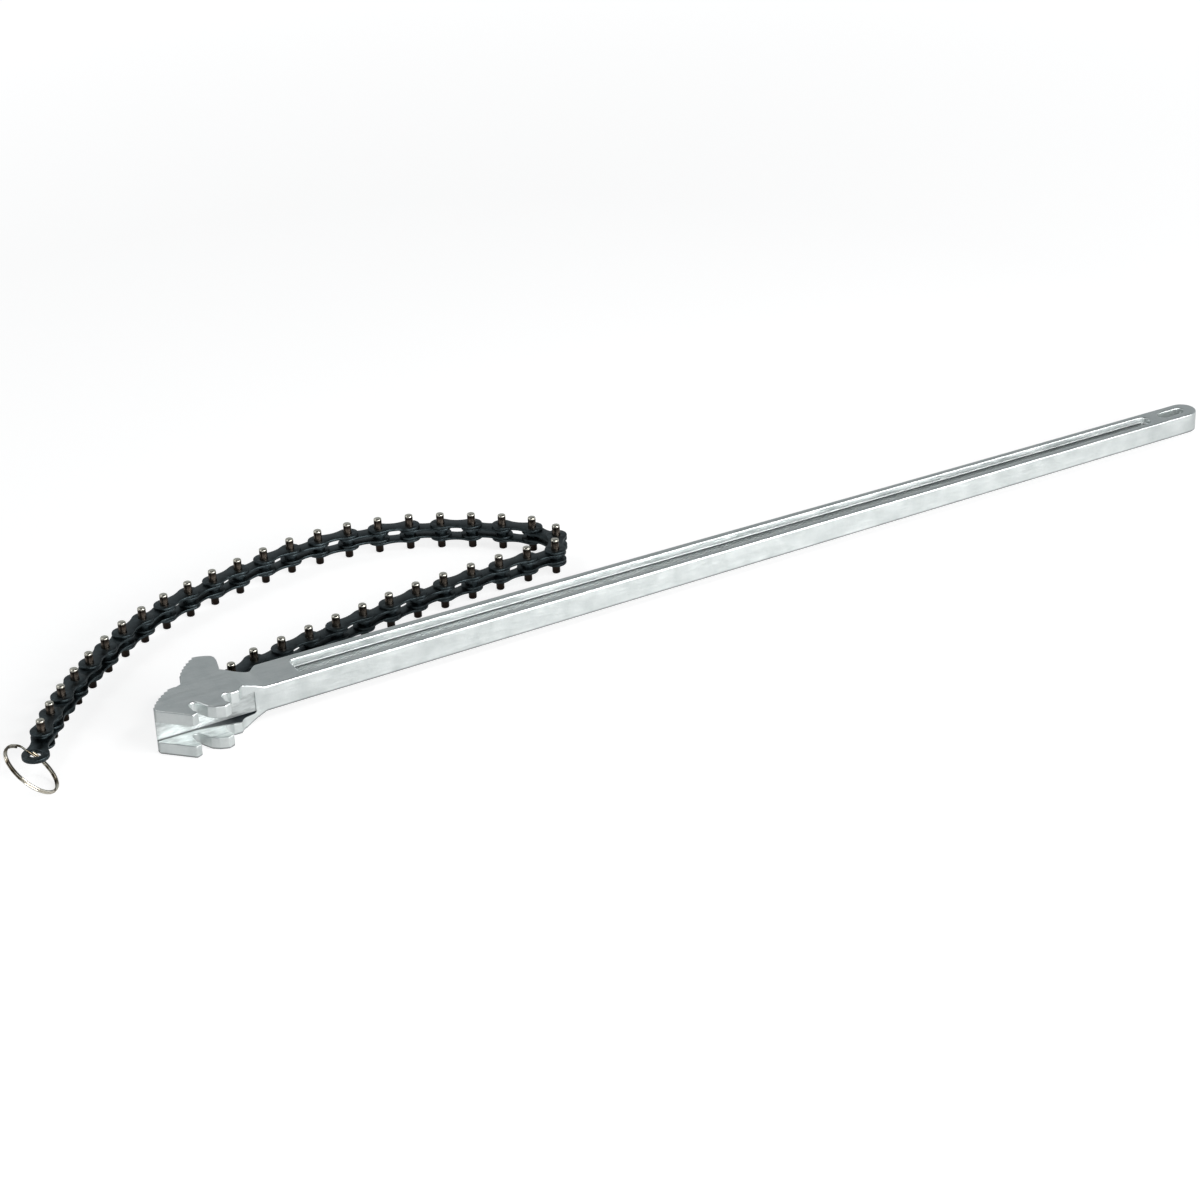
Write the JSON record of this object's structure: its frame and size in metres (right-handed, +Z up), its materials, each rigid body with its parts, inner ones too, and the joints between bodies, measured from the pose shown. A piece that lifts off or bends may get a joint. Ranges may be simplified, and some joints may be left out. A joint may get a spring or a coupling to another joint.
{
  "type": "chain pipe wrench",
  "caption": "Chain pipe wrench with a forged toothed jaw and I-section handle, and a hinged pin chain that wraps a pipe and locks in the jaw's hooks.",
  "frame": {"origin": "on the jaw's underside, on the handle's centre line, 30 mm behind the jaw's front corner", "axes": "+X along the handle from the jaw to the hanging slot, +Y to the side that the chain lies on, +Z up from the floor that the wrench lies on"},
  "size_m": [1.0722, 0.2447, 0.036],
  "materials": {
    "plated_steel": "bright plated drop forging",
    "black_oxide_steel": "oiled black oxide chain plate",
    "bare_pin_steel": "dark hardened pin",
    "nickel_wire": "nickel plated spring wire"
  },
  "bodies": {
    "tool": {"handle_forging": "plated_steel", "anchor_pin": "bare_pin_steel"},
    "link_00": {"inner_link_00": "black_oxide_steel"},
    "link_01": {"pin_link_01": "bare_pin_steel", "cover_plate_01": "black_oxide_steel"},
    "link_02": {"inner_link_01": "black_oxide_steel"},
    "link_03": {"pin_link_02": "bare_pin_steel", "cover_plate_02": "black_oxide_steel"},
    "link_04": {"inner_link_02": "black_oxide_steel"},
    "link_05": {"pin_link_03": "bare_pin_steel", "cover_plate_03": "black_oxide_steel"},
    "link_06": {"inner_link_03": "black_oxide_steel"},
    "link_07": {"pin_link_04": "bare_pin_steel", "cover_plate_04": "black_oxide_steel"},
    "link_08": {"inner_link_04": "black_oxide_steel"},
    "link_09": {"pin_link_05": "bare_pin_steel", "cover_plate_05": "black_oxide_steel"},
    "link_10": {"inner_link_05": "black_oxide_steel"},
    "link_11": {"pin_link_06": "bare_pin_steel", "cover_plate_06": "black_oxide_steel"},
    "link_12": {"inner_link_06": "black_oxide_steel"},
    "link_13": {"pin_link_07": "bare_pin_steel", "cover_plate_07": "black_oxide_steel"},
    "link_14": {"inner_link_07": "black_oxide_steel"},
    "link_15": {"pin_link_08": "bare_pin_steel", "cover_plate_08": "black_oxide_steel"},
    "link_16": {"inner_link_08": "black_oxide_steel"},
    "link_17": {"pin_link_09": "bare_pin_steel", "cover_plate_09": "black_oxide_steel"},
    "link_18": {"inner_link_09": "black_oxide_steel"},
    "link_19": {"pin_link_10": "bare_pin_steel", "cover_plate_10": "black_oxide_steel"},
    "link_20": {"inner_link_10": "black_oxide_steel"},
    "link_21": {"pin_link_11": "bare_pin_steel", "cover_plate_11": "black_oxide_steel"},
    "link_22": {"inner_link_11": "black_oxide_steel"},
    "link_23": {"pin_link_12": "bare_pin_steel", "cover_plate_12": "black_oxide_steel"},
    "link_24": {"inner_link_12": "black_oxide_steel"},
    "link_25": {"pin_link_13": "bare_pin_steel", "cover_plate_13": "black_oxide_steel"},
    "link_26": {"inner_link_13": "black_oxide_steel"},
    "link_27": {"pin_link_14": "bare_pin_steel", "cover_plate_14": "black_oxide_steel"},
    "link_28": {"inner_link_14": "black_oxide_steel"},
    "link_29": {"pin_link_15": "bare_pin_steel", "cover_plate_15": "black_oxide_steel"},
    "link_30": {"inner_link_15": "black_oxide_steel"},
    "link_31": {"pin_link_16": "bare_pin_steel", "cover_plate_16": "black_oxide_steel"},
    "link_32": {"inner_link_16": "black_oxide_steel"},
    "link_33": {"pin_link_17": "bare_pin_steel", "cover_plate_17": "black_oxide_steel"},
    "link_34": {"inner_link_17": "black_oxide_steel"},
    "link_35": {"pin_link_18": "bare_pin_steel", "cover_plate_18": "black_oxide_steel"},
    "link_36": {"ring_link": "black_oxide_steel"},
    "ring": {"end_ring": "nickel_wire"}
  },
  "joints": [
    {"name": "chain_anchor", "type": "hinge", "parent": "tool", "child": "link_00", "pos_m": [0.0327, 0.0065, 0.015], "axis": [0, 0, 1], "range_deg": [-6, 15]},
    {"name": "chain_hinge_01", "type": "hinge", "parent": "link_00", "child": "link_01", "pos_m": [0.04799, 0.02678, 0.015], "axis": [0, 0, -1], "range_deg": [-32, 7]},
    {"name": "chain_hinge_02", "type": "hinge", "parent": "link_01", "child": "link_02", "pos_m": [0.07076, 0.03804, 0.015], "axis": [0, 0, 1], "range_deg": [-8, 33]},
    {"name": "chain_hinge_03", "type": "hinge", "parent": "link_02", "child": "link_03", "pos_m": [0.09564, 0.04315, 0.015], "axis": [0, 0, -1], "range_deg": [-34, 9]},
    {"name": "chain_hinge_04", "type": "hinge", "parent": "link_03", "child": "link_04", "pos_m": [0.12052, 0.04825, 0.015], "axis": [0, 0, 1], "range_deg": [-10, 30]},
    {"name": "chain_hinge_05", "type": "hinge", "parent": "link_04", "child": "link_05", "pos_m": [0.1454, 0.05336, 0.015], "axis": [0, 0, -1], "range_deg": [-25, 11]},
    {"name": "chain_hinge_06", "type": "hinge", "parent": "link_05", "child": "link_06", "pos_m": [0.17028, 0.05847, 0.015], "axis": [0, 0, 1], "range_deg": [-13, 22]},
    {"name": "chain_hinge_07", "type": "hinge", "parent": "link_06", "child": "link_07", "pos_m": [0.19516, 0.06358, 0.015], "axis": [0, 0, -1], "range_deg": [-19, 15]},
    {"name": "chain_hinge_08", "type": "hinge", "parent": "link_07", "child": "link_08", "pos_m": [0.22025, 0.06755, 0.015], "axis": [0, 0, 1], "range_deg": [-18, 17]},
    {"name": "chain_hinge_09", "type": "hinge", "parent": "link_08", "child": "link_09", "pos_m": [0.24549, 0.07038, 0.015], "axis": [0, 0, -1], "range_deg": [-16, 23]},
    {"name": "chain_hinge_10", "type": "hinge", "parent": "link_09", "child": "link_10", "pos_m": [0.2708, 0.07251, 0.015], "axis": [0, 0, 1], "range_deg": [-34, 15]},
    {"name": "chain_hinge_11", "type": "hinge", "parent": "link_10", "child": "link_11", "pos_m": [0.29616, 0.07392, 0.015], "axis": [0, 0, -1], "range_deg": [-13, 38]},
    {"name": "chain_hinge_12", "type": "hinge", "parent": "link_11", "child": "link_12", "pos_m": [0.32155, 0.07463, 0.015], "axis": [0, 0, 1], "range_deg": [-37, 12]},
    {"name": "chain_hinge_13", "type": "hinge", "parent": "link_12", "child": "link_13", "pos_m": [0.34695, 0.07463, 0.015], "axis": [0, 0, -1], "range_deg": [-11, 37]},
    {"name": "chain_hinge_14", "type": "hinge", "parent": "link_13", "child": "link_14", "pos_m": [0.35965, 0.09663, 0.015], "axis": [0, 0, 1], "range_deg": [-37, 11]},
    {"name": "chain_hinge_15", "type": "hinge", "parent": "link_14", "child": "link_15", "pos_m": [0.35014, 0.12018, 0.015], "axis": [0, 0, -1], "range_deg": [-11, 36]},
    {"name": "chain_hinge_16", "type": "hinge", "parent": "link_15", "child": "link_16", "pos_m": [0.33174, 0.1377, 0.015], "axis": [0, 0, 1], "range_deg": [-36, 10]},
    {"name": "chain_hinge_17", "type": "hinge", "parent": "link_16", "child": "link_17", "pos_m": [0.312, 0.15368, 0.015], "axis": [0, 0, -1], "range_deg": [-10, 36]},
    {"name": "chain_hinge_18", "type": "hinge", "parent": "link_17", "child": "link_18", "pos_m": [0.29075, 0.16759, 0.015], "axis": [0, 0, 1], "range_deg": [-36, 10]},
    {"name": "chain_hinge_19", "type": "hinge", "parent": "link_18", "child": "link_19", "pos_m": [0.2682, 0.17928, 0.015], "axis": [0, 0, -1], "range_deg": [-11, 36]},
    {"name": "chain_hinge_20", "type": "hinge", "parent": "link_19", "child": "link_20", "pos_m": [0.2443, 0.18788, 0.015], "axis": [0, 0, 1], "range_deg": [-37, 11]},
    {"name": "chain_hinge_21", "type": "hinge", "parent": "link_20", "child": "link_21", "pos_m": [0.21948, 0.19325, 0.015], "axis": [0, 0, -1], "range_deg": [-11, 37]},
    {"name": "chain_hinge_22", "type": "hinge", "parent": "link_21", "child": "link_22", "pos_m": [0.19416, 0.19529, 0.015], "axis": [0, 0, 1], "range_deg": [-37, 11]},
    {"name": "chain_hinge_23", "type": "hinge", "parent": "link_22", "child": "link_23", "pos_m": [0.16879, 0.19396, 0.015], "axis": [0, 0, -1], "range_deg": [-11, 37]},
    {"name": "chain_hinge_24", "type": "hinge", "parent": "link_23", "child": "link_24", "pos_m": [0.14383, 0.18929, 0.015], "axis": [0, 0, 1], "range_deg": [-37, 12]},
    {"name": "chain_hinge_25", "type": "hinge", "parent": "link_24", "child": "link_25", "pos_m": [0.1191, 0.18349, 0.015], "axis": [0, 0, -1], "range_deg": [-14, 38]},
    {"name": "chain_hinge_26", "type": "hinge", "parent": "link_25", "child": "link_26", "pos_m": [0.09466, 0.17657, 0.015], "axis": [0, 0, 1], "range_deg": [-40, 15]},
    {"name": "chain_hinge_27", "type": "hinge", "parent": "link_26", "child": "link_27", "pos_m": [0.07056, 0.16855, 0.015], "axis": [0, 0, -1], "range_deg": [-16, 41]},
    {"name": "chain_hinge_28", "type": "hinge", "parent": "link_27", "child": "link_28", "pos_m": [0.04684, 0.15945, 0.015], "axis": [0, 0, 1], "range_deg": [-42, 17]},
    {"name": "chain_hinge_29", "type": "hinge", "parent": "link_28", "child": "link_29", "pos_m": [0.02417, 0.148, 0.015], "axis": [0, 0, -1], "range_deg": [-20, 43]},
    {"name": "chain_hinge_30", "type": "hinge", "parent": "link_29", "child": "link_30", "pos_m": [0.00277, 0.13431, 0.015], "axis": [0, 0, 1], "range_deg": [-46, 22]},
    {"name": "chain_hinge_31", "type": "hinge", "parent": "link_30", "child": "link_31", "pos_m": [-0.01713, 0.11854, 0.015], "axis": [0, 0, -1], "range_deg": [-26, 48]},
    {"name": "chain_hinge_32", "type": "hinge", "parent": "link_31", "child": "link_32", "pos_m": [-0.03619, 0.10174, 0.015], "axis": [0, 0, 1], "range_deg": [-52, 30]},
    {"name": "chain_hinge_33", "type": "hinge", "parent": "link_32", "child": "link_33", "pos_m": [-0.05433, 0.08397, 0.015], "axis": [0, 0, -1], "range_deg": [-32, 56]},
    {"name": "chain_hinge_34", "type": "hinge", "parent": "link_33", "child": "link_34", "pos_m": [-0.07153, 0.06527, 0.015], "axis": [0, 0, 1], "range_deg": [-58, 36]},
    {"name": "chain_hinge_35", "type": "hinge", "parent": "link_34", "child": "link_35", "pos_m": [-0.08737, 0.04542, 0.015], "axis": [0, 0, -1], "range_deg": [-47, 62]},
    {"name": "chain_hinge_36", "type": "hinge", "parent": "link_35", "child": "link_36", "pos_m": [-0.1018, 0.02451, 0.015], "axis": [0, 0, 1], "range_deg": [-73, 76]},
    {"name": "ring_swing", "type": "hinge", "parent": "link_36", "child": "ring", "pos_m": [-0.11473, 0.00265, 0.015], "axis": [0, 0, -1], "range_deg": [-76, 76]}
  ]
}
